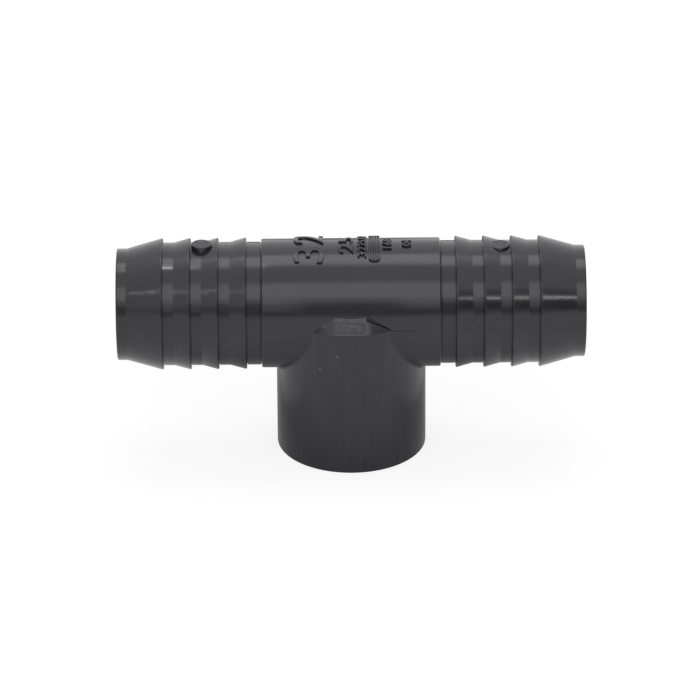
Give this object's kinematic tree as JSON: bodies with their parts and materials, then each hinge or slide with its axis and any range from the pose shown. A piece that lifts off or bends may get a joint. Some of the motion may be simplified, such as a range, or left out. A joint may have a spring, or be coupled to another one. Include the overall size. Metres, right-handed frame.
{
  "type": "barbed tee connector",
  "caption": "Barbed reducing tee: two in-line hose spigots with sawtooth barbs and a female-threaded branch hub standing on its flat mouth.",
  "frame": {"origin": "centre of the branch mouth's flat rim, which is the bottom centre of the bounding box", "axes": "+X along the run from the left spigot to the right one, +Y to the back, +Z from the branch mouth up to the run"},
  "size_m": [0.129, 0.0414, 0.061],
  "materials": {
    "grey_pvc": "satin moulded dark grey PVC",
    "trimmed_pvc": "cut and rubbed dark grey PVC, duller and a little paler than the moulded skin"
  },
  "bodies": {
    "root": {"run_barrel": "grey_pvc", "branch_hub": "grey_pvc", "branch_thread": "grey_pvc", "left_spigot": "grey_pvc", "left_barb_1": "grey_pvc", "left_barb_2": "grey_pvc", "left_barb_3": "grey_pvc", "left_lead_barb": "grey_pvc", "right_spigot": "grey_pvc", "right_barb_1": "grey_pvc", "right_barb_2": "grey_pvc", "right_barb_3": "grey_pvc", "right_lead_barb": "grey_pvc", "left_ejector_pad": "grey_pvc", "right_ejector_pad": "grey_pvc", "size_numbers": "grey_pvc", "mould_numbers": "grey_pvc", "index_bars": "grey_pvc", "gate_vestige": "trimmed_pvc", "parting_flash": "trimmed_pvc"}
  },
  "joints": []
}
